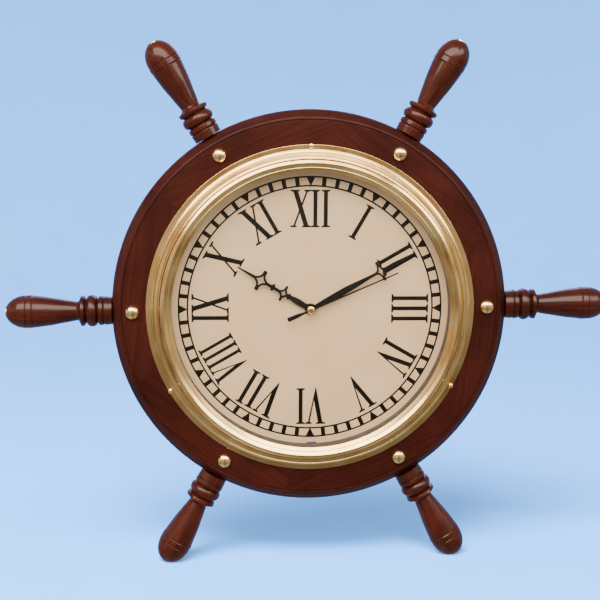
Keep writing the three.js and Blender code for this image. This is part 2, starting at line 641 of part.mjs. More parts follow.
function addHands() {
  const { hour, minute, second } = HAND_ANGLE;
  addHand('hour_hand', handGeometry(HOUR_BLADE, 5.3, HOUR_TUBE.outer + GAP, -12.5, -11.9), hour, 'hand');
  const minuteHand = handGeometry(MINUTE_BLADE, 4.6, MINUTE_TUBE.outer + GAP, -13.9, -13.3);
  addHand('minute_hand', minuteHand, minute, 'hand');
  const nut = hexagon(5.5);
  circleHole(nut, 0, 0, MINUTE_TUBE.outer + GAP);
  addHand('minute_nut', plate(nut, -15.2, -14.2), minute, 'brass');
  const secondHand = handGeometry(SECOND_BLADE, 3, SECOND_ARBOR.radius + GAP, -19.6, -19.1);
  addHand('second_hand', secondHand, second, 'hand');
  const boss = turned([[0, -21.4], [2.6, -21.2], [3.9, -20.6], [3.9, -19.9], [0, -19.9]], 16);
  addHand('second_boss', boss, second, 'brass');
}

addRim();
addHandles();
addDomes();
addHanger();
addBezel();
addGlass();
addSpacer();
addDial();
addCase();
addCover();
addFixings();
addMotionWork();
addTrain();
addMotor();
addCell();
addHands();

// The clock stands on its two trimmed handles: the origin is under its middle
clock.position.set(0, -(CREST + RIM.back) / 2, -FOOT_Z);
clock.updateMatrixWorld(true);

export default clock;
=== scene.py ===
"""Looks for a ship's-wheel deck clock: lacquered hardwood wheel, spun brass bezel, roman dial, quartz works.

Pieces are drawn in millimetres round the hands' axis, which runs along Y: x to the right, z up, front
towards -Y, with y = 0 half way through the rim. Clock angles are degrees clockwise from twelve.
"""

import json
import math

import bmesh
import bpy
from mathutils import Matrix, Vector
from mathutils.geometry import delaunay_2d_cdt

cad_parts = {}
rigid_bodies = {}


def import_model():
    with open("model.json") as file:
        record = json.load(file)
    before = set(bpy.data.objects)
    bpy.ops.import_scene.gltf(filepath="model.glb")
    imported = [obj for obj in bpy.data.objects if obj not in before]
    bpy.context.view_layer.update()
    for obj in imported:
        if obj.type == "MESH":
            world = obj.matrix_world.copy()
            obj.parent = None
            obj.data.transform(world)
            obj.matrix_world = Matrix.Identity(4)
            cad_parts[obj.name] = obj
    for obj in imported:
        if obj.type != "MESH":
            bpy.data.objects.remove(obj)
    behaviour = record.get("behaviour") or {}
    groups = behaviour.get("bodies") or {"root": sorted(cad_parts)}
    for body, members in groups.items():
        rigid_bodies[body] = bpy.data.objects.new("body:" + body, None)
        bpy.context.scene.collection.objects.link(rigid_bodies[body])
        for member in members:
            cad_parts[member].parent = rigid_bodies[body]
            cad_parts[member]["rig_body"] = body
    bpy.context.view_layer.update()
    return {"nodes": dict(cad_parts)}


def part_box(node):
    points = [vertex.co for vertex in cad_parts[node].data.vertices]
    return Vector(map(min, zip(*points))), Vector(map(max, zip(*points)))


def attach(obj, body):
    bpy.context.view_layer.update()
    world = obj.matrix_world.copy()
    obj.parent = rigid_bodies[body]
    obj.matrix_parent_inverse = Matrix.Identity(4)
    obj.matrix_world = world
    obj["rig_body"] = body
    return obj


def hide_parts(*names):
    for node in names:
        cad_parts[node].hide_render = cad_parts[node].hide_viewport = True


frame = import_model()

MM = 0.001
nodes = frame["nodes"]
dial_low, dial_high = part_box("dial_plate")
rim_low, rim_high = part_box("rim_segment_1")
ORIGIN = Vector((
    (dial_low.x + dial_high.x) / 2,
    (rim_low.y + rim_high.y) / 2,
    (dial_low.z + dial_high.z) / 2,
))


# ---- the frame's sizes, in millimetres round the axis ----
def span(node):
    """Lowest and highest corner of a CAD node."""
    low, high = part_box(node)
    return (low - ORIGIN) / MM, (high - ORIGIN) / MM


def middle(node):
    low, high = span(node)
    return (low + high) / 2


def radii(node):
    """Least and greatest distance of a CAD node's corners from the axis."""
    found = [math.hypot(v.co.x - ORIGIN.x, v.co.z - ORIGIN.z) / MM for v in nodes[node].data.vertices]
    return min(found), max(found)


def named(start):
    return sorted(name for name in nodes if name.startswith(start))


def on_dial(angle, radius):
    """(x, z) at a clock angle and radius."""
    turn = math.radians(angle)
    return radius * math.sin(turn), radius * math.cos(turn)


# ---- outlines ----
def arc(centre, size, start, end, steps):
    """Points of an ellipse's arc, in degrees from the first axis towards the second."""
    turns = [math.radians(start + (end - start) * i / steps) for i in range(steps + 1)]
    return [(centre[0] + size[0] * math.cos(t), centre[1] + size[1] * math.sin(t)) for t in turns]


def rounded(points, radius, steps=4, closed=True):
    """Eases each corner of an outline; a point may carry its own radius as a third number."""
    eased = []
    count = len(points)
    for i, point in enumerate(points):
        here = Vector(point[:2])
        size = point[2] if len(point) > 2 else radius
        if size == 0 or (not closed and i in (0, count - 1)):
            eased.append(tuple(here))
            continue
        before = Vector(points[i - 1][:2]) - here
        after = Vector(points[(i + 1) % count][:2]) - here
        half = before.angle(after) / 2
        reach = min(size / math.tan(half), 0.48 * before.length, 0.48 * after.length)
        first = here + before.normalized() * reach
        last = here + after.normalized() * reach
        for step in range(steps + 1):
            t = step / steps
            eased.append(tuple(first * (1 - t) ** 2 + here * 2 * t * (1 - t) + last * t ** 2))
    return eased


def swept(points, steps=8):
    """A smooth curve through the points."""
    ends = [points[0], *points, points[-1]]
    curve = []
    for a, b, c, d in zip(ends, ends[1:], ends[2:], ends[3:]):
        a, b, c, d = Vector(a), Vector(b), Vector(c), Vector(d)
        for i in range(steps):
            t = i / steps
            curve.append(tuple(0.5 * (2 * b + (c - a) * t + (2 * a - 5 * b + 4 * c - d) * t ** 2
                                      + (3 * b - a - 3 * c + d) * t ** 3)))
    return [*curve, tuple(points[-1])]


def area(loop):
    """Area inside an outline, negative if it runs clockwise."""
    return sum(a[0] * b[1] - b[0] * a[1] for a, b in zip(loop, [*loop[1:], loop[0]])) / 2


# ---- solids, each as corners and faces ----
def skin(rows, closed_rows, closed_ring):
    """Quads between rows of corners, numbered row by row."""
    across = len(rows[0])
    corners = [corner for row in rows for corner in row]
    faces = []
    for i in range(len(rows) if closed_rows else len(rows) - 1):
        low, high = i * across, ((i + 1) % len(rows)) * across
        for j in range(across if closed_ring else across - 1):
            k = (j + 1) % across
            faces.append((low + j, low + k, high + k, high + j))
    return corners, faces


def lathe(profile, sides, centre=(0, 0), sweep=(0, 360)):
    """[radius, y] points turned about a line along Y; a part turn gets flat ends."""
    full = sweep[1] - sweep[0] == 360
    turns = [sweep[0] + (sweep[1] - sweep[0]) * i / sides for i in range(sides if full else sides + 1)]
    rows = []
    for turn in turns:
        x, z = on_dial(turn, 1)
        rows.append([(centre[0] + r * x, y, centre[1] + r * z) for r, y in profile])
    open_profile = profile[0][0] == 0 and profile[-1][0] == 0
    corners, faces = skin(rows, full, not open_profile)
    if not full:
        last = len(corners) - len(profile)
        faces += [tuple(range(len(profile))), tuple(range(last, len(corners)))]
    return corners, faces


def spindle(profile, sides, angle):
    """[radius, distance from the hands' axis] points turned about the line of a clock angle."""
    out_x, out_z = on_dial(angle, 1)
    rows = []
    for i in range(sides):
        turn = 2 * math.pi * i / sides
        ring = []
        for radius, along in profile:
            side, y = radius * math.cos(turn), radius * math.sin(turn)
            if along == HANDLE_SEAT:
                along = math.sqrt(HANDLE_SEAT ** 2 - side ** 2) + SEAM
            ring.append((along * out_x + side * out_z, y, along * out_z - side * out_x))
        rows.append(ring)
    return skin(rows, True, False)


def plate(shapes, front, back):
    """Flat plate of (outline, holes) shapes drawn in x and z, merged where they overlap."""
    points, loops, groups = [], [], []
    for outline, holes in shapes:
        group = []
        for loop in [outline, *holes]:
            group.append(len(loops))
            loops.append(list(range(len(points), len(points) + len(loop))))
            points += [Vector(point) for point in (loop if area(loop) > 0 else loop[::-1])]
        groups.append((group[0], group[1:]))
    found = delaunay_2d_cdt(points, [], loops, 1, 1e-5)
    flat, triangles, origins = found[0], found[2], found[5]
    kept = []
    for triangle, inside in zip(triangles, origins):
        if any(outer in inside and not set(inner) & set(inside) for outer, inner in groups):
            kept.append(tuple(triangle))
    count = len(flat)
    corners = [(p.x, front, p.y) for p in flat] + [(p.x, back, p.y) for p in flat]
    edges = {(t[i], t[(i + 1) % 3]) for t in kept for i in range(3)}
    walls = [(a, b, b + count, a + count) for a, b in edges if (b, a) not in edges]
    backs = [tuple(corner + count for corner in reversed(triangle)) for triangle in kept]
    return corners, kept + walls + backs


def moved(geometry, turn=0.0, shift=(0, 0)):
    """The same solid turned clockwise by a clock angle, then shifted in x and z."""
    corners, faces = geometry
    c, s = math.cos(math.radians(turn)), math.sin(math.radians(turn))
    return [(x * c + z * s + shift[0], y, z * c - x * s + shift[1]) for x, y, z in corners], faces


def together(geometries):
    corners, faces = [], []
    for more_corners, more_faces in geometries:
        start = len(corners)
        corners += more_corners
        faces += [tuple(start + i for i in face) for face in more_faces]
    return corners, faces


def circle(radius, centre=(0, 0), steps=64):
    return arc(centre, (radius, radius), 0, 360, steps)[:-1]


# ---- pieces ----
def make_mesh(name, geometry, sharp):
    corners, faces = geometry
    mesh = bpy.data.meshes.new(name)
    mesh.from_pydata([Vector(corner) * MM for corner in corners], [], faces)
    shape = bmesh.new()
    shape.from_mesh(mesh)
    bmesh.ops.remove_doubles(shape, verts=shape.verts, dist=1e-7)
    loose = [v for v in shape.verts if not v.link_faces]
    bmesh.ops.delete(shape, geom=loose, context="VERTS")
    bmesh.ops.recalc_face_normals(shape, faces=shape.faces)
    shape.to_mesh(mesh)
    shape.free()
    mesh.shade_smooth()
    mesh.set_sharp_from_angle(angle=math.radians(sharp))
    return mesh


def add_piece(name, geometry, finish, stands_for=(), sharp=35, body="root"):
    """A piece in place of CAD nodes, riding on their body. A finish is (material, material slot); its slot is
    not used.
    """
    piece = bpy.data.objects.new(name, make_mesh(name, geometry, sharp))
    piece.location = ORIGIN
    bpy.context.scene.collection.objects.link(piece)
    material, slot = finish
    piece.data.materials.append(material)
    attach(piece, nodes[stands_for[0]]["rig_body"] if stands_for else body)
    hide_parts(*stands_for)
    flat = piece.modifiers.new("flat_faces", "WEIGHTED_NORMAL")
    flat.keep_sharp = True
    flat.weight = 90
    return piece


def ease_edges(piece, width, angle=40, segments=2):
    """Small rounded edges on a stamped or moulded piece."""
    bevel = piece.modifiers.new("eased_edges", "BEVEL")
    bevel.width = width * MM
    bevel.segments = segments
    bevel.limit_method = "ANGLE"
    bevel.angle_limit = math.radians(angle)
    bevel.harden_normals = False


def dress(node, finish, edge=None):
    """A finish, and softened edges, on a CAD node that stays as it is."""
    material, slot = finish
    part = nodes[node]
    part.data.materials.clear()
    part.data.materials.append(material)
    if edge:
        ease_edges(part, edge)


# ---- materials ----
def linear(code):
    """Scene colour of an sRGB hex code."""
    parts = [int(code[i:i + 2], 16) / 255 for i in (1, 3, 5)]
    return (*[c / 12.92 if c <= 0.04045 else ((c + 0.055) / 1.055) ** 2.4 for c in parts], 1)


def add(tree, kind, inputs=None, **settings):
    """Adds a node; an input's value is a number, a colour or another node's output."""
    node = tree.nodes.new("ShaderNode" + kind)
    for key, value in settings.items():
        setattr(node, key, value)
    for key, value in (inputs or {}).items():
        if isinstance(value, bpy.types.NodeSocket):
            tree.links.new(value, node.inputs[key])
        else:
            node.inputs[key].default_value = value
    return node


def new_material(name, **surface):
    """A material with one Principled surface; its values are set on that node's own sockets."""
    material = bpy.data.materials.new(name)
    material.use_nodes = True
    tree = material.node_tree
    tree.nodes.clear()
    body = add(tree, "BsdfPrincipled")
    for key, value in surface.items():
        body.inputs[key.replace("_", " ")].default_value = value
    out = add(tree, "OutputMaterial")
    tree.links.new(body.outputs["BSDF"], out.inputs["Surface"])
    return material, tree, body


def feed(tree, body, **sources):
    for key, source in sources.items():
        tree.links.new(source, body.inputs[key.replace("_", " ")])


def stops(node, marks):
    """Sets a colour ramp's stops from (place, colour) pairs."""
    ramp = node.color_ramp
    while len(ramp.elements) < len(marks):
        ramp.elements.new(0.5)
    for element, (place, colour) in zip(ramp.elements, marks):
        element.position = place
        element.color = linear(colour) if isinstance(colour, str) else (colour, colour, colour, 1)
    return node.outputs["Color"]


def per_mm(*sizes):
    """Pattern scale that makes one repeat as long as each size in millimetres."""
    return tuple(1 / (size * MM) for size in sizes)


def lacquered_wood(name, angle, along, seed, tone, gloss):
    """Red-stained mahogany under lacquer: dark ribbon grain, fine pores and a soft, slightly wavy shine."""
    material, tree, body = new_material(
        name, Roughness=0.42, Coat_Weight=gloss, Coat_Roughness=0.14, Specular_IOR_Level=0.08)
    place = add(tree, "TexCoord").outputs["Object"]
    turned = add(tree, "Mapping", {
        "Vector": place,
        "Rotation": (0, math.radians(-angle), 0),
        "Location": (seed * 0.31, seed * 0.17, seed * 0.23),
    }).outputs["Vector"]
    ribbon_size = (90, 4, 2.6) if along == "x" else (2.6, 4, 90)
    pore_size = (9, 0.5, 0.5) if along == "x" else (0.5, 0.5, 9)
    ribbon = add(tree, "TexNoise", {
        "Vector": add(tree, "Mapping", {"Vector": turned, "Scale": per_mm(*ribbon_size)}).outputs["Vector"],
        "Scale": 1.0, "Detail": 6.0, "Roughness": 0.62, "Distortion": 0.5,
    }).outputs["Fac"]
    pores = add(tree, "TexNoise", {
        "Vector": add(tree, "Mapping", {"Vector": turned, "Scale": per_mm(*pore_size)}).outputs["Vector"],
        "Scale": 1.0, "Detail": 2.0, "Roughness": 0.5,
    }).outputs["Fac"]
    stain = add(tree, "TexNoise", {
        "Vector": turned, "Scale": per_mm(70)[0], "Detail": 3.0, "Roughness": 0.55,
    }).outputs["Fac"]
    dark, mid, light = tone
    grain = stops(add(tree, "ValToRGB", {"Fac": ribbon}), [(0.3, dark), (0.5, mid), (0.72, light)])
    blotch = stops(add(tree, "ValToRGB", {"Fac": stain}), [(0.35, 0.62), (0.62, 1.0)])
    shaded = add(tree, "Mix", {6: grain, 7: blotch, 0: 1.0}, data_type="RGBA", blend_type="MULTIPLY")
    pore_mask = stops(add(tree, "ValToRGB", {"Fac": pores}), [(0.3, 0.45), (0.42, 1.0)])
    pored = add(tree, "Mix", {6: shaded.outputs[2], 7: pore_mask, 0: 0.7},
                data_type="RGBA", blend_type="MULTIPLY")
    waviness = add(tree, "TexNoise", {"Vector": place, "Scale": per_mm(6)[0], "Detail": 2.0}).outputs["Fac"]
    relief = add(tree, "Bump", {"Height": pore_mask, "Strength": 0.25, "Distance": 0.05 * MM})
    film = add(tree, "Bump", {"Height": waviness, "Strength": 0.35, "Distance": 0.12 * MM})
    dull = add(tree, "MapRange", {"Value": stain, "To Min": 0.34, "To Max": 0.5}).outputs["Result"]
    feed(tree, body, Base_Color=pored.outputs[2], Roughness=dull, Normal=relief.outputs["Normal"],
         Coat_Normal=film.outputs["Normal"])
    return material


def ring_lines(tree, place, pitch):
    """Noise that runs in circles round the hands' axis, as a spinning tool or a polishing wheel leaves."""
    flat = add(tree, "VectorMath", {0: place, 1: (1, 0, 1)}, operation="MULTIPLY").outputs[0]
    radius = add(tree, "VectorMath", {0: flat}, operation="LENGTH").outputs["Value"]
    depth = add(tree, "SeparateXYZ", {"Vector": place}).outputs["Y"]
    reach = add(tree, "CombineXYZ", {"X": radius, "Y": depth}).outputs["Vector"]
    return add(tree, "TexNoise", {"Vector": reach, "Scale": per_mm(pitch)[0], "Detail": 3.0}).outputs["Fac"]


def spun_brass():
    """Brass sheet spun over a former, polished and lacquered: fine rings of tool marks, warm clouds."""
    material, tree, body = new_material("brass_spun_polished", Metallic=1.0, Roughness=0.16)
    place = add(tree, "TexCoord").outputs["Object"]
    rings = ring_lines(tree, place, 0.7)
    cloud = add(tree, "TexNoise", {"Vector": place, "Scale": per_mm(24)[0], "Detail": 4.0}).outputs["Fac"]
    warm = stops(add(tree, "ValToRGB", {"Fac": cloud}), [(0.3, "#e6b870"), (0.7, "#f4d594")])
    lined = add(tree, "MapRange", {"Value": rings, "To Min": 0.86, "To Max": 1.0}).outputs["Result"]
    colour = add(tree, "Mix", {6: warm, 7: lined, 0: 1.0}, data_type="RGBA", blend_type="MULTIPLY")
    rough = add(tree, "MapRange", {"Value": cloud, "To Min": 0.1, "To Max": 0.26}).outputs["Result"]
    marks = add(tree, "Bump", {"Height": rings, "Strength": 0.15, "Distance": 0.03 * MM})
    feed(tree, body, Base_Color=colour.outputs[2], Roughness=rough, Normal=marks.outputs["Normal"])
    return material


def polished_brass():
    """Pressed brass, buffed bright: near-mirror with soft finger smears and a few fine scratches."""
    material, tree, body = new_material("brass_pressed_buffed", Metallic=1.0, Roughness=0.14)
    place = add(tree, "TexCoord").outputs["Object"]
    smear = add(tree, "TexNoise", {"Vector": place, "Scale": per_mm(5)[0], "Detail": 5.0}).outputs["Fac"]
    colour = stops(add(tree, "ValToRGB", {"Fac": smear}), [(0.3, "#ecc27c"), (0.7, "#f9dc9e")])
    rough = add(tree, "MapRange", {"Value": smear, "To Min": 0.07, "To Max": 0.22}).outputs["Result"]
    feed(tree, body, Base_Color=colour, Roughness=rough)
    return material


def dark_taupe_brass():
    """Spacer rolled from brass sheet: dull dark taupe, with even drawing lines."""
    material, tree, body = new_material("brass_sheet_dark_taupe", Metallic=0.2, Roughness=0.55)
    place = add(tree, "TexCoord").outputs["Object"]
    rings = ring_lines(tree, place, 0.5)
    colour = stops(add(tree, "ValToRGB", {"Fac": rings}), [(0.25, "#3d3432"), (0.75, "#4c423f")])
    rough = add(tree, "MapRange", {"Value": rings, "To Min": 0.5, "To Max": 0.62}).outputs["Result"]
    feed(tree, body, Base_Color=colour, Roughness=rough)
    return material


def window_glass():
    """Flat drawn glass: clear, with the faintest ripple in its reflections."""
    material, tree, body = new_material(
        "glass_flat_drawn", Base_Color=linear("#fbfdfb"), Roughness=0.0, IOR=1.3, Transmission_Weight=1.0)
    place = add(tree, "TexCoord").outputs["Object"]
    ripple = add(tree, "TexNoise", {"Vector": place, "Scale": per_mm(60)[0], "Detail": 1.0}).outputs["Fac"]
    wave = add(tree, "Bump", {"Height": ripple, "Strength": 0.1, "Distance": 0.2 * MM})
    feed(tree, body, Normal=wave.outputs["Normal"])
    return material


def dial_enamel():
    """Cream lacquer sprayed on a metal dial: satin, with a faint mottle and fine specks."""
    material, tree, body = new_material("lacquer_sprayed_cream", Roughness=0.5, Specular_IOR_Level=0.4)
    place = add(tree, "TexCoord").outputs["Object"]
    mottle = add(tree, "TexNoise", {"Vector": place, "Scale": per_mm(45)[0], "Detail": 5.0}).outputs["Fac"]
    speck = add(tree, "TexNoise", {"Vector": place, "Scale": per_mm(1.2)[0], "Detail": 3.0}).outputs["Fac"]
    cream = stops(add(tree, "ValToRGB", {"Fac": mottle}), [(0.3, "#c9a782"), (0.7, "#cfae8b")])
    fine = add(tree, "MapRange", {"Value": speck, "To Min": 0.94, "To Max": 1.0}).outputs["Result"]
    colour = add(tree, "Mix", {6: cream, 7: fine, 0: 1.0}, data_type="RGBA", blend_type="MULTIPLY")
    peel = add(tree, "Bump", {"Height": speck, "Strength": 0.15, "Distance": 0.03 * MM})
    feed(tree, body, Base_Color=colour.outputs[2], Normal=peel.outputs["Normal"])
    return material


def dial_ink():
    """Screen-printed ink: dense brown-black, slightly uneven where the screen laid it down."""
    material, tree, body = new_material("ink_screen_printed", Roughness=0.6, Specular_IOR_Level=0.05)
    place = add(tree, "TexCoord").outputs["Object"]
    uneven = add(tree, "TexNoise", {"Vector": place, "Scale": per_mm(1.5)[0], "Detail": 3.0}).outputs["Fac"]
    colour = stops(add(tree, "ValToRGB", {"Fac": uneven}), [(0.3, "#070403"), (0.75, "#0f0907")])
    feed(tree, body, Base_Color=colour)
    return material


def hand_lacquer():
    """Stamped steel dipped in black lacquer: smooth, semi-gloss, with faint grey rubs."""
    material, tree, body = new_material("steel_lacquered_black", Roughness=0.36, Specular_IOR_Level=0.2)
    place = add(tree, "TexCoord").outputs["Object"]
    rub = add(tree, "TexNoise", {"Vector": place, "Scale": per_mm(3)[0], "Detail": 4.0}).outputs["Fac"]
    colour = stops(add(tree, "ValToRGB", {"Fac": rub}), [(0.3, "#060404"), (0.8, "#120c0a")])
    rough = add(tree, "MapRange", {"Value": rub, "To Min": 0.25, "To Max": 0.42}).outputs["Result"]
    feed(tree, body, Base_Color=colour, Roughness=rough)
    return material


def pressed_fibreboard():
    """Medium-density fibreboard, sawn and left bare: tan, with matted fibres and a dusty look."""
    material, tree, body = new_material("fibreboard_bare", Roughness=0.85, Specular_IOR_Level=0.2)
    place = add(tree, "TexCoord").outputs["Object"]
    fibre = add(tree, "TexNoise", {
        "Vector": place, "Scale": per_mm(1.6)[0], "Detail": 8.0, "Roughness": 0.75, "Distortion": 1.2,
    }).outputs["Fac"]
    cloud = add(tree, "TexNoise", {"Vector": place, "Scale": per_mm(60)[0], "Detail": 3.0}).outputs["Fac"]
    tan = stops(add(tree, "ValToRGB", {"Fac": fibre}),
                [(0.3, "#7d5a38"), (0.5, "#9c7650"), (0.72, "#b8946b")])
    shade = add(tree, "MapRange", {"Value": cloud, "To Min": 0.82, "To Max": 1.05}).outputs["Result"]
    colour = add(tree, "Mix", {6: tan, 7: shade, 0: 1.0}, data_type="RGBA", blend_type="MULTIPLY")
    nap = add(tree, "Bump", {"Height": fibre, "Strength": 0.5, "Distance": 0.15 * MM})
    feed(tree, body, Base_Color=colour.outputs[2], Normal=nap.outputs["Normal"])
    return material


def metal(name, low, high, rough, grain):
    """Sheet or turned metal: cloudy plating over fine grain."""
    material, tree, body = new_material(name, Metallic=1.0)
    place = add(tree, "TexCoord").outputs["Object"]
    cloud = add(tree, "TexNoise", {"Vector": place, "Scale": per_mm(grain)[0], "Detail": 6.0}).outputs["Fac"]
    colour = stops(add(tree, "ValToRGB", {"Fac": cloud}), [(0.3, low), (0.7, high)])
    gloss = add(tree, "MapRange", {"Value": cloud, "To Min": rough[0], "To Max": rough[1]}).outputs["Result"]
    feed(tree, body, Base_Color=colour, Roughness=gloss)
    return material


def moulded(name, low, high, rough, grain, relief):
    """Injection-moulded or cast polymer: even colour with a fine spark-eroded texture."""
    material, tree, body = new_material(name, Roughness=rough)
    place = add(tree, "TexCoord").outputs["Object"]
    texture = add(tree, "TexNoise", {
        "Vector": place, "Scale": per_mm(grain)[0], "Detail": 4.0,
    }).outputs["Fac"]
    colour = stops(add(tree, "ValToRGB", {"Fac": texture}), [(0.3, low), (0.7, high)])
    bump = add(tree, "Bump", {"Height": texture, "Strength": 0.4, "Distance": relief * MM})
    feed(tree, body, Base_Color=colour, Normal=bump.outputs["Normal"])
    return material


def wound_wire():
    """Enamelled copper wire laid in close turns, drawn at 0.3 mm a turn so that the turns show, with painted
    shade in the grooves between turns.
    """
    material, tree, body = new_material("copper_wire_enamelled", Metallic=1.0, Roughness=0.3)
    place = add(tree, "TexCoord").outputs["Object"]
    turns = add(tree, "TexWave", {"Vector": place, "Scale": per_mm(0.3)[0] / 20, "Distortion": 0.4},
                bands_direction="Z").outputs["Fac"]
    # Darker copper in the wave's troughs, the grooves between turns: painted shade between the wires.
    colour = stops(add(tree, "ValToRGB", {"Fac": turns}), [(0.1, "#5e2a12"), (0.8, "#c0703c")])
    bump = add(tree, "Bump", {"Height": turns, "Strength": 0.6, "Distance": 0.1 * MM})
    feed(tree, body, Base_Color=colour, Normal=bump.outputs["Normal"])
    return material


def backdrop_paper():
    """Matte pale-blue background paper with a barely visible tooth."""
    material, tree, body = new_material(
        "paper_matte_pale_blue", Roughness=0.9, Specular_IOR_Level=0.1,
        Emission_Color=linear("#7ac0ff"), Emission_Strength=0.59)
    place = add(tree, "TexCoord").outputs["Object"]
    tooth = add(tree, "TexNoise", {"Vector": place, "Scale": per_mm(90)[0], "Detail": 4.0}).outputs["Fac"]
    colour = stops(add(tree, "ValToRGB", {"Fac": tooth}), [(0.3, "#3a90f0"), (0.7, "#4093f4")])
    feed(tree, body, Base_Color=colour)
    return material


RIM_TONE = ("#3f1711", "#4a1e17", "#56251c")
HANDLE_TONE = ("#3f170d", "#531f12", "#682b19")
BEZEL_BRASS = (spun_brass(), "spun_brass")
TRIM_BRASS = (polished_brass(), "brass_trim")
SPACER_BRASS = (dark_taupe_brass(), "spacer_brass")
GLASS = (window_glass(), "glass")
ENAMEL = (dial_enamel(), "dial_enamel")
INK = (dial_ink(), "dial_enamel")
HAND_BLACK = (hand_lacquer(), "hand_black")
FIBREBOARD = (pressed_fibreboard(), "fibreboard")
STEEL = (metal("steel_zinc_plated", "#8f9296", "#b9bcc0", (0.25, 0.42), 4), "steel")
NUT_BRASS = (metal("brass_turned_bright", "#c89a54", "#e2bd78", (0.2, 0.32), 3), "nut_brass")
MAGNET = (metal("ferrite_sintered", "#3a3c40", "#55585d", (0.4, 0.55), 2), "magnet")
CASE_PLASTIC = (moulded("abs_moulded_black", "#141416", "#1f1f22", 0.5, 0.5, 0.04), "case_plastic")
GEAR_PLASTIC = (moulded("acetal_moulded_white", "#d9d6cb", "#e8e5dc", 0.4, 1.0, 0.01), "gear_plastic")
RUBBER = (moulded("rubber_moulded_black", "#1b1b1b", "#262625", 0.8, 0.6, 0.03), "rubber")
CIRCUIT = (moulded("epoxy_board_green", "#174a2c", "#22613b", 0.35, 2.0, 0.01), "circuit")
SLEEVE = (moulded("sleeve_shrunk_blue_grey", "#33414f", "#3f4f5f", 0.28, 3.0, 0.01), "cell_sleeve")
COIL_WIRE = (wound_wire(), "coil_wire")

# ---- camera ----
VIEW = {"azimuth": -3.21, "elevation": 8.67, "roll": -0.42, "distance": 1.2, "lens": 70.9}
AIM = {"left": 9.95, "up": 7.3}  # how far the camera stands off the line to the wheel's centre


def add_camera():
    azimuth, elevation, roll = (math.radians(VIEW[key]) for key in ("azimuth", "elevation", "roll"))
    back = Vector((
        math.cos(elevation) * math.sin(azimuth),
        -math.cos(elevation) * math.cos(azimuth),
        math.sin(elevation),
    ))
    right = (-back).cross(Vector((0, 0, 1))).normalized()
    up = back.cross(right)
    side = right * math.cos(roll) + up * math.sin(roll)
    top = up * math.cos(roll) - right * math.sin(roll)
    spot = ORIGIN + back * VIEW["distance"] - side * AIM["left"] * MM + top * AIM["up"] * MM
    camera = bpy.data.objects.new("camera", bpy.data.cameras.new("camera"))
    camera.data.lens = VIEW["lens"]
    camera.matrix_world = Matrix.Translation(spot) @ Matrix((side, top, back)).transposed().to_4x4()
    bpy.context.scene.collection.objects.link(camera)
    bpy.context.scene.camera = camera


# ---- wheel ----
SEAM = 0.05  # closed-up glue line or seat, where the CAD keeps wider gaps
RIM_BORE, RIM_OUTER = radii("rim_segment_1")
RIM_FRONT, RIM_BACK = span("rim_segment_1")[0].y, span("rim_segment_1")[1].y
RABBET = {"radius": 160, "depth": 9.3}
CREST = span("bezel")[0].y
GLASS_GAP = 0.3
HANDLE_SEAT = RIM_OUTER
FELLOES = named("rim_segment_")
FIRST_JOINT = 8
HANDLES = [name for name in named("handle_") if "button" not in name]
FEET = (150, 210)  # clock angles of the two handles that the clock stands on
BUTTON = {"seat": 303.5, "tip": 305, "radius": 6.15, "crown": 4.55}
DOME = {"circle": 178, "radius": 7.15, "edge": 0.35}


def rim_profile():
    """Flat face with a fine groove, a wide chamfer round the edge, eased back edge and the board's rabbet."""
    shoulder = RIM_FRONT + RABBET["depth"]
    return rounded([
        (RIM_BORE, RIM_FRONT, 0.6), (187.5, RIM_FRONT, 0.15), (187.95, RIM_FRONT + 0.8, 0.2),
        (188.8, RIM_FRONT + 0.8, 0.2), (189.3, RIM_FRONT, 0.15), (191.1, RIM_FRONT + 0.3, 1.6),
        (197.4, RIM_FRONT + 7.4, 2), (RIM_OUTER, RIM_FRONT + 10, 1.5), (RIM_OUTER, RIM_BACK, 2.5),
        (RABBET["radius"], RIM_BACK, 0.8), (RABBET["radius"], shoulder, 0.2), (RIM_BORE, shoulder, 0.4),
    ], 0.3)


def add_rim():
    sector = 360 / len(FELLOES)
    gap = math.degrees(SEAM / 2 / RIM_BORE)
    for index, node in enumerate(FELLOES):
        start = FIRST_JOINT + index * sector
        finish = lacquered_wood(f"mahogany_lacquered_felloe_{index + 1}", start + sector / 2, "x",
                                index * 1.7 + 0.4, RIM_TONE, 0.1)
        shape = lathe(rim_profile(), 48, sweep=(start + gap, start + sector - gap))
        add_piece(f"felloe_{index + 1}", shape, (finish, "rim_wood"), [node])


def handle_profile():
    """Base ring, bead, flared collar, long grip, turned line and rounded end, from the rim outwards."""
    seat = HANDLE_SEAT
    low = [(0, seat, 0), (7, seat, 0), (13.8, seat, 0), (14.5, 206.3, 0.7), (13.2, 207.2, 0.3),
           (14.6, 208.2, 0.4), (14.6, 212, 0.9), (11.8, 213.3, 0.4)]
    bead = [(r, s, 0) for r, s in arc((11.8, 219), (4.2, 5.3), -80, 80, 14)]
    collar = [(11.8, 224.9, 0.4), (14.9, 226.5, 0.8), (15.6, 229.6, 0.8), (10.6, 232, 1)]
    grip = [(r, s, 0) for r, s in
            swept([(9.4, 233.8), (10.6, 240), (12, 248.3), (14.2, 260.8), (16.1, 276.4)])]
    line = [(15.5, 277.2, 0.3), (16.5, 278.2, 0.3), (16.5, 283, 0.3), (15.8, 283.8, 0.2)]
    end = [(16.4 * math.sqrt(1 - ((s - 284.4) / 21) ** 2), s, 0) for s in
           [284.4 + 19.1 * math.sin(math.radians(t)) for t in range(0, 91, 6)]]
    return rounded([*low, *bead, *collar, *grip, *line, *end, (0, BUTTON["seat"])], 0.3, closed=False)


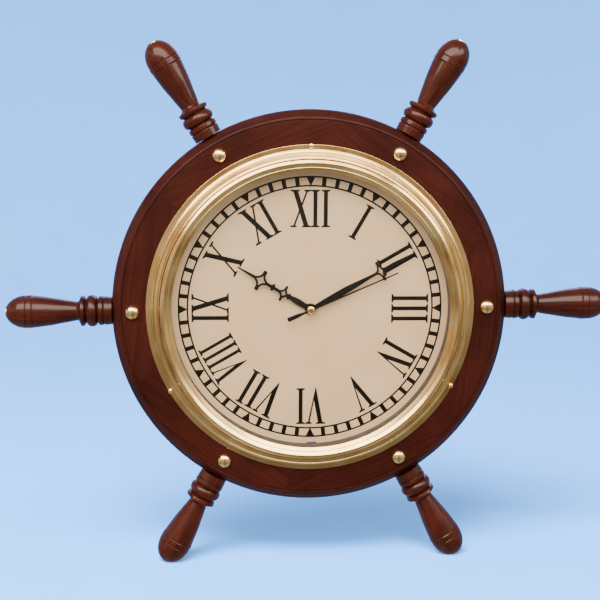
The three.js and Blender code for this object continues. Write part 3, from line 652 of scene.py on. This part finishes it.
def trim_feet(piece, floor):
    """Planes the handle's end flat where the clock stands on it."""
    shape = bmesh.new()
    shape.from_mesh(piece.data)
    geometry = [*shape.verts, *shape.edges, *shape.faces]
    cut = bmesh.ops.bisect_plane(shape, geom=geometry, plane_co=(0, 0, floor), plane_no=(0, 0, -1),
                                 clear_outer=True)
    edges = [item for item in cut["geom_cut"] if isinstance(item, bmesh.types.BMEdge)]
    bmesh.ops.contextual_create(shape, geom=edges)
    shape.to_mesh(piece.data)
    shape.free()
    piece.data.set_sharp_from_angle(angle=math.radians(35))


def add_handles():
    floor = -ORIGIN.z
    for index, node in enumerate(HANDLES):
        angle = int(node[-3:])
        finish = lacquered_wood(f"mahogany_turned_handle_{angle:03d}", angle, "z",
                                index * 2.3 + 5, HANDLE_TONE, 0.4)
        shape = spindle(handle_profile(), 96, angle)
        piece = add_piece(f"grip_{angle:03d}", shape, (finish, "handle_wood"), [node])
        if angle in FEET:
            trim_feet(piece, floor)


def add_trim():
    """Domed nail heads over the handle pins, and a brass button in each free handle's end."""
    for node in named("dome_"):
        at = on_dial(int(node[-3:]), DOME["circle"])
        front = span(node)[0].y
        seat = RIM_FRONT - SEAM
        foot = seat - DOME["edge"]
        crown = [(DOME["radius"] * math.sin(t), foot - (foot - front) * math.cos(t)) for t in
                 [math.radians(step) for step in range(6, 91, 6)]]
        shape = lathe([(0, front), *crown, (DOME["radius"], seat), (0, seat)], 64, at)
        add_piece(f"{node}_head", shape, TRIM_BRASS, [node])
    for node in named("handle_button_"):
        angle = int(node[-3:])
        seat, tip = BUTTON["seat"] + SEAM, BUTTON["tip"]
        crown = rounded([(BUTTON["radius"], seat), (BUTTON["radius"], tip - 0.5, 0.4),
                         (BUTTON["crown"], tip - 0.12, 1.5), (0, tip)], 0.3, closed=False)
        profile = [(0, seat), *crown]
        add_piece(f"button_{angle:03d}", spindle(profile, 64, angle), TRIM_BRASS, [node])


# ---- face ----
NAIL_HEAD = {"radius": 2.8, "height": 1.8, "seat": -19.05}
SPACER = {"wall": 139.5, "sheet": 1.1, "lug": 138.1, "lug_half": 5}
DIAL_BORE = 4.2  # clears the movement's bushing


def bezel_profile():
    """Lip over the glass rising to a high crest, a steep drop, two fine beads and the nailed flange."""
    seat = RIM_FRONT - SEAM
    lip = span("glass")[0].y - GLASS_GAP
    return rounded([
        (164.5, seat, 0.1), (159.2, seat, 0.2), (158.4, -19.9, 0.4),  # back of the flange
        (152.2, -22.6, 0.5), (150.2, -23.8, 0.5), (149.6, -29.6, 0.5),  # inside of the sheet
        (148.4, -30.6, 0.4), (147.5, -30.2, 0.3), (147.5, -8, 0.2), (146.3, -8, 0.2),  # skirt
        (146.3, lip, 0.2), (138.6, lip, 0.15), (138.6, lip - 0.8, 0.5),  # lip over the glass
        (142.3, -31, 0.9), (142.7, -30.8, 0.3), (145.3, -32.5, 0.9),  # inner slope
        (146.2, CREST, 0.9), (147.4, -32.8, 1.2), (149.8, -31.4, 1.2), (150.9, -29.4, 0.9),  # crest
        (151.4, -23.6, 0.5), (152.4, -23.2, 0.3), (153, -23.8, 0.5), (156.1, -23.2, 0.5),  # inner bead
        (156.6, -21.9, 0.2), (157.2, -22.2, 0.4), (159, -21.2, 0.6), (159.6, -19, 0.3),  # outer bead
        (164.2, -18.7, 0.4), (164.5, -18.2, 0.3),  # nailed flange
    ], 0.3)


def add_face():
    add_piece("bezel_shell", lathe(bezel_profile(), 240), BEZEL_BRASS, ["bezel"], sharp=50)
    for node in named("bezel_nail_"):
        at = middle(node)
        foot = (0, NAIL_HEAD["seat"])
        head = arc(foot, (NAIL_HEAD["radius"], NAIL_HEAD["height"]), -90, 0, 8)
        shape = lathe([*head, foot], 32, (at.x, at.z))
        add_piece(f"{node}_head", shape, TRIM_BRASS, [node])

    low, high = span("glass")
    pane = rounded([(0, low.y, 0), (high.x, low.y, 0.3), (high.x, high.y, 0.3), (0, high.y, 0)], 0,
                   closed=False)
    glass = add_piece("window", lathe(pane, 192), GLASS, ["glass"])
    glass.visible_shadow = False

    low, high = span("spacer_ring")
    wall, sheet, tip, side = (SPACER[key] for key in ("wall", "sheet", "lug", "lug_half"))
    channel = rounded([(wall, low.y, 0.5), (high.x, low.y), (high.x, low.y + sheet),
                       (wall + sheet, low.y + sheet), (wall + sheet, high.y - sheet),
                       (high.x, high.y - sheet), (high.x, high.y), (wall, high.y, 0.3)], 0.25)
    base = -wall - sheet / 2
    lug = rounded([(-side, base, 0), (-side, -tip), (side, -tip), (side, base, 0)], 0.5)
    spacer = together([lathe(channel, 192), plate([(lug, [])], high.y - 2, high.y - 0.02)])
    add_piece("spacer", spacer, SPACER_BRASS, ["spacer_ring"])

    low, high = span("dial_plate")
    disc = rounded([(DIAL_BORE, low.y), (high.x, low.y), (high.x, high.y), (DIAL_BORE, high.y)], 0.12,
                   steps=2)
    add_piece("dial", lathe(disc, 192), ENAMEL, ["dial_plate"])
    low, high = span("dial_board")
    disc = rounded([(DIAL_BORE, low.y), (high.x, low.y), (high.x, high.y), (DIAL_BORE, high.y)], 0.4,
                   steps=2)
    add_piece("board", lathe(disc, 192), FIBREBOARD, ["dial_board"])


# ---- dial print ----
TRACK = {"inner": 123.5, "outer": 132.4, "line": 1.7, "bar": 4.3, "mark": 9.2, "turn": 0.55}
NUMERAL = {"low": 82, "high": 119.5, "thick": 4.1, "thin": 2, "serif": 1.5, "foot": 4.5, "turn": 0.8}
ADVANCE = {"I": 10.4, "V": 18.4, "X": 18.8}
NARROW = {"VIII": 0.82}  # the longest numeral is set closer, with lighter strokes
PRINT_THICKNESS = 0.03


def slanted(x_low, x_high, width):
    """A straight stroke from the numeral's foot to its head."""
    low, high, half = NUMERAL["low"], NUMERAL["high"], width / 2
    return [(x_low - half, low), (x_low + half, low), (x_high + half, high), (x_high - half, high)]


def serif(x, edge, half=None):
    """Bracketed foot on a stroke's end: a thin bar that swells into the stroke."""
    half = NUMERAL["foot"] if half is None else half
    inward = NUMERAL["serif"] if edge == NUMERAL["low"] else -NUMERAL["serif"]
    return [(x - half, edge), (x + half, edge), (x + half, edge + 0.8 * inward),
            (x + half * 0.5, edge + 1.5 * inward), (x - half * 0.5, edge + 1.5 * inward),
            (x - half, edge + 0.8 * inward)]


def letter(kind, x):
    low, high = NUMERAL["low"], NUMERAL["high"]
    thick, thin = NUMERAL["thick"], NUMERAL["thin"]
    if kind == "I":
        return [slanted(x, x, thick), serif(x, low), serif(x, high)]
    if kind == "V":
        left = [(x - 8.4, high), (x - 3.8, high), (x + 1.4, low + 9.7),
                (x - 0.7, low - 0.7), (x - 1.4, low - 0.7)]
        right = [(x + 5.3, high), (x + 5.3 + thin, high), (x - 0.6, low - 0.5), (x - 1.2, low + 1.5)]
        return [left, right, serif(x - 6.1, high, 5), serif(x + 6.2, high, 3.4)]
    return [
        slanted(x + 5.9, x - 5.6, thick + 0.9), slanted(x - 7.1, x + 6.7, thin),
        serif(x - 5.6, high, 4.8), serif(x + 5.9, low, 4.8),
        serif(x + 6.7, high, 3.4), serif(x - 7.1, low, 3.4),
    ]


def numeral_outlines(text):
    width = sum(ADVANCE[kind] for kind in text)
    x = -width / 2
    outlines = []
    for kind in text:
        outlines += letter(kind, x + ADVANCE[kind] / 2)
        x += ADVANCE[kind]
    squeeze = NARROW.get(text, 1)
    return [[(squeeze * x, z) for x, z in outline] for outline in outlines]


def turn_outline(outline, angle):
    c, s = math.cos(math.radians(angle)), math.sin(math.radians(angle))
    return [(x * c + z * s, z * c - x * s) for x, z in outline]


def add_print():
    front = span("dial_plate")[0].y
    face, ground = front - PRINT_THICKNESS, front - 0.005
    line = TRACK["line"] / 2
    inner, outer = TRACK["inner"], TRACK["outer"]
    shapes = [(circle(r + line, steps=360), [circle(r - line, steps=360)]) for r in (inner, outer)]
    for minute in range(60):
        if minute % 5:
            half = TRACK["bar"] / 2
            mark = [(-half, inner), (half, inner), (half, outer), (-half, outer)]
        else:
            half = TRACK["mark"] / 2
            mark = [(-half, outer), (0, inner - 0.4), (half, outer)]
        shapes.append((turn_outline(mark, minute * 6 + TRACK["turn"]), []))
    add_piece("minute_track", plate(shapes, face, ground), INK)
    texts = ["XII", "I", "II", "III", "IV", "V", "VI", "VII", "VIII", "IX", "X", "XI"]
    for hour, text in enumerate(texts):
        turn = hour * 30 + NUMERAL["turn"]
        shapes = [(turn_outline(outline, turn), []) for outline in numeral_outlines(text)]
        add_piece(f"numeral_{hour or 12:02d}", plate(shapes, face, ground), INK)


# ---- hands ----
STAR_WAIST = 0.17


def star_side(at, along, across, ball, stem):
    """One side of a hollow star: an inward curve out to a small ball, and back to the blade."""
    start = math.radians(125)
    foot = (at - ball * math.sin(start), across / 2 + ball * math.cos(start))
    base = (at - along / 2, stem)
    pull = (at - STAR_WAIST * along, STAR_WAIST * across)
    lower = []
    for step in range(8):
        t = step / 8
        lower.append(tuple((1 - t) ** 2 * b + 2 * t * (1 - t) * p + t ** 2 * f
                           for b, p, f in zip(base, pull, foot)))
    ball_arc = [(at + ball * math.sin(t), across / 2 + ball * math.cos(t)) for t in
                [start * (step / 8 - 1) for step in range(17)]]
    return [*lower, *ball_arc, *[(2 * at - place, half) for place, half in reversed(lower)]]


def star_hole(at, along, across):
    """Opening in a star, its four sides curved inward."""
    tips = [(0, along / 2), (across / 2, 0), (0, -along / 2), (-across / 2, 0)]
    outline = []
    for (x0, z0), (x1, z1) in zip(tips, tips[1:] + tips[:1]):
        waist = (STAR_WAIST * 2 * (x0 + x1) * 0.85, STAR_WAIST * 2 * (z0 + z1) * 0.85)
        for step in range(6):
            t = step / 6
            outline.append(tuple((1 - t) ** 2 * a + 2 * t * (1 - t) * m + t ** 2 * b
                                 for a, m, b in zip((x0, z0), waist, (x1, z1))))
    return [(x, at + z) for x, z in outline]


def blade(sides):
    """Outline of a hand pointing at twelve from (along, half width) points of one side."""
    return [(half, along) for along, half in sides] + [(-half, along) for along, half in reversed(sides)]


SMALL_STAR = (31.8, 9.8, 14, 1.5, 1.6)
LARGE_STAR = (58, 14.7, 17.6, 2.2, 1.6)
MINUTE_STAR = (80, 9.4, 18, 1.7, 1.6)
HOUR_SIDES = [
    (3, 2.4), (8, 2.9), (15.5, 3.25), (20, 2.8), (24.2, 2.1), (24.8, 3.2), (26.4, 3.2),
    *star_side(*SMALL_STAR), (42.3, 1.7), (42.8, 3.6), (45.4, 3.6), (45.8, 1.7),
    *star_side(*LARGE_STAR), (69, 1.5), (75, 1.1), (85, 0.6),
]
MINUTE_SIDES = [(3, 2), *swept([(8, 2.3), (20, 2.9), (38, 3.4), (50, 2.9), (60, 2.2), (69, 1.6)], 4),
                *star_side(*MINUTE_STAR), (95, 1.9), (118, 0.5)]
SECOND_SIDES = [(-25.4, 1.4), (-24.9, 2.1), (-24, 2.3), (-14, 2), (-8.6, 1.2), (8, 0.9), (95, 0.7)]
HANDS = {
    "hour_hand": {"sides": HOUR_SIDES, "hub": 5.35, "bore": 2.8,
                  "holes": [(31.8, 5.8, 6.2), (58, 10.2, 11)]},
    "minute_hand": {"sides": MINUTE_SIDES, "hub": 4.6, "bore": 1.85, "holes": [(80, 5.4, 10.6)]},
    "second_hand": {"sides": SECOND_SIDES, "hub": 3, "bore": 0.8, "holes": []},
}
HAND_ANGLE = {"hour_hand": 301, "minute_hand": 62, "second_hand": 67.5}


def add_hands():
    for node, hand in HANDS.items():
        low, high = span(node)
        bore = circle(hand["bore"], steps=32)
        openings = [star_hole(*hole) for hole in hand["holes"]]
        shapes = [(blade(hand["sides"]), [*openings, bore]), (circle(hand["hub"]), [bore])]
        shape = moved(plate(shapes, low.y, high.y), HAND_ANGLE[node])
        piece = add_piece(f"{node}_stamping", shape, HAND_BLACK, [node])
        ease_edges(piece, 0.14)
    low, high = span("second_boss")
    cap = rounded([(0, low.y, 0), (2.5, low.y, 0.3), (2.7, low.y + 0.45, 0.15), (3, low.y + 0.3, 0.2),
                   (3.9, low.y + 0.8, 0.6), (3.9, high.y, 0.1), (0, high.y, 0)], 0.2, closed=False)
    add_piece("centre_cap", lathe(cap, 64), TRIM_BRASS, ["second_boss"])


# ---- works ----
def add_works():
    dress("minute_nut", TRIM_BRASS, 0.15)
    dress("bushing_nut", NUT_BRASS, 0.3)
    dress("rubber_washer", RUBBER, 0.2)
    dress("movement_case", CASE_PLASTIC, 0.4)
    dress("movement_back", CASE_PLASTIC, 0.3)
    dress("battery", SLEEVE, 0.4)
    dress("coil", COIL_WIRE, 0.2)
    dress("circuit_board", CIRCUIT, 0.1)
    dress("rotor", MAGNET, 0.1)
    for node in ("hanger_plate", "stator", "contact_spring", "contact_plate", "minute_arbor",
                 *named("board_screw_"), *named("hanger_screw_")):
        dress(node, STEEL, 0.12)
    for node in ("hour_wheel", "motion_wheel", "seconds_wheel", "third_wheel", "centre_wheel",
                 "intermediate_wheel", "set_knob"):
        dress(node, GEAR_PLASTIC, 0.06)


# ---- studio ----
COVE = {"floor": 1.3, "wall": 2.6, "height": 2.6}


def add_cove():
    """Round studio sweep of blue paper, seen by the camera and left out of reflections."""
    bend = COVE["wall"] - COVE["floor"]
    profile = [(0, 0), (0.3, 0), (0.8, 0)]
    profile += [(COVE["floor"] + bend * math.sin(t), bend - bend * math.cos(t)) for t in
                [math.radians(step) for step in range(0, 91, 6)]]
    profile.append((COVE["wall"], COVE["height"]))
    paper = backdrop_paper()
    papers = bpy.data.collections.new("papers")
    for name, start in (("sweep_front", 90), ("sweep_back", -90)):
        rows = []
        for i in range(49):
            x, y = on_dial(start + 180 * i / 48, 1)
            rows.append([(r * x, r * y, z) for r, z in profile])
        corners, faces = skin(rows, False, False)
        geometry = [tuple(value / MM for value in corner) for corner in corners], faces
        sweep = bpy.data.objects.new(name, make_mesh(name, geometry, 180))
        sweep.data.materials.append(paper)
        bpy.context.scene.collection.objects.link(sweep)
        sweep.visible_glossy = False
        sweep.visible_diffuse = False
        sweep.visible_transmission = False
        sweep.visible_shadow = False
        papers.objects.link(sweep)


LAMPS = {
    "key": {"at": (-0.4, -1.45, 1.7), "size": (3.0, 1.35), "power": 72, "colour": "#fff4e4"},
    "sheen": {"at": (-0.3, -1.4, 1.8), "size": (3.2, 1.45), "power": 76, "colour": "#fffaf0",
              "lights": "gloss"},
    "window": {"at": (1.45, -1.05, 1.3), "size": (1.3, 0.8), "power": 27, "colour": "#fffaf0",
               "lights": "gloss"},
    "wash": {"at": (-0.5, -1.2, 2.3), "size": (1.6, 1.0), "power": 380, "colour": "#ffffff",
             "lights": "papers"},
    "rear": {"at": (0.3, 1.9, 1.4), "size": (1.6, 1.0), "power": 16, "colour": "#ffffff"},
}
# Tones of the room from floor to ceiling, and how strong they are from left to right
ROOM = [(0.0, "#c8c6c6"), (0.06, "#bcbaba"), (0.13, "#9a9999"), (0.2, "#b4b3b3"), (0.26, "#5e5d5e"),
        (0.31, "#adaaa8"), (0.36, "#78736f"), (0.41, "#979089"), (0.47, "#d6ccc0"), (0.51, "#d0c4b6"),
        (0.55, "#a08e78"), (0.6, "#ecdcc8"), (0.67, "#fff0dc"), (0.74, "#5a544e"), (1.0, "#a4a4a4")]
SIDES = [(0.0, 1.0), (0.1, 0.75), (0.2, 0.8), (0.3, 1.0), (0.4, 0.85), (0.46, 0.5), (0.58, 0.45),
         (0.65, 0.5), (0.72, 0.85), (0.8, 0.75), (0.9, 0.8), (1.0, 0.9)]
FAR_SIDE = "#7c9fd8"


def add_lights():
    for name, lamp in LAMPS.items():
        light = bpy.data.lights.new(name, "AREA")
        light.shape = "RECTANGLE"
        light.size, light.size_y = lamp["size"]
        light.energy = lamp["power"]
        light.color = linear(lamp["colour"])[:3]
        holder = bpy.data.objects.new(name, light)
        holder.location = lamp["at"]
        aim = ORIGIN - Vector(lamp["at"])
        holder.rotation_euler = aim.to_track_quat("-Z", "Y").to_euler()
        bpy.context.scene.collection.objects.link(holder)
        holder.visible_camera = False
        if lamp.get("lights") == "gloss":
            holder.visible_diffuse = False
        if lamp.get("lights") == "papers":
            holder.light_linking.receiver_collection = bpy.data.collections["papers"]


def add_room():
    """Room round the set, which the brass reflects: pale below, banded by height and side, bluish behind."""
    world = bpy.data.worlds.new("room")
    world.use_nodes = True
    tree = world.node_tree
    way = add(tree, "SeparateXYZ", {"Vector": add(tree, "TexCoord").outputs["Generated"]}).outputs
    height = add(tree, "MapRange", {"Value": way["Z"], "From Min": -1.0}).outputs["Result"]
    tones = stops(add(tree, "ValToRGB", {"Fac": height}), ROOM)
    across = add(tree, "MapRange", {"Value": way["X"], "From Min": -1.0}).outputs["Result"]
    sides = stops(add(tree, "ValToRGB", {"Fac": across}), SIDES)
    banded = add(tree, "Mix", {0: 1.0, 6: tones, 7: sides}, data_type="RGBA", blend_type="MULTIPLY")
    behind = add(tree, "MapRange", {"Value": way["Y"], "From Min": 0.1, "From Max": 0.7}).outputs["Result"]
    mixed = add(tree, "Mix", {0: behind, 6: banded.outputs[2], 7: linear(FAR_SIDE)}, data_type="RGBA")
    tree.links.new(mixed.outputs[2], tree.nodes["Background"].inputs["Color"])
    tree.nodes["Background"].inputs["Strength"].default_value = 1.5
    bpy.context.scene.world = world


add_camera()
add_rim()
add_handles()
add_trim()
add_face()
add_print()
add_hands()
add_works()
add_cove()
add_lights()
add_room()
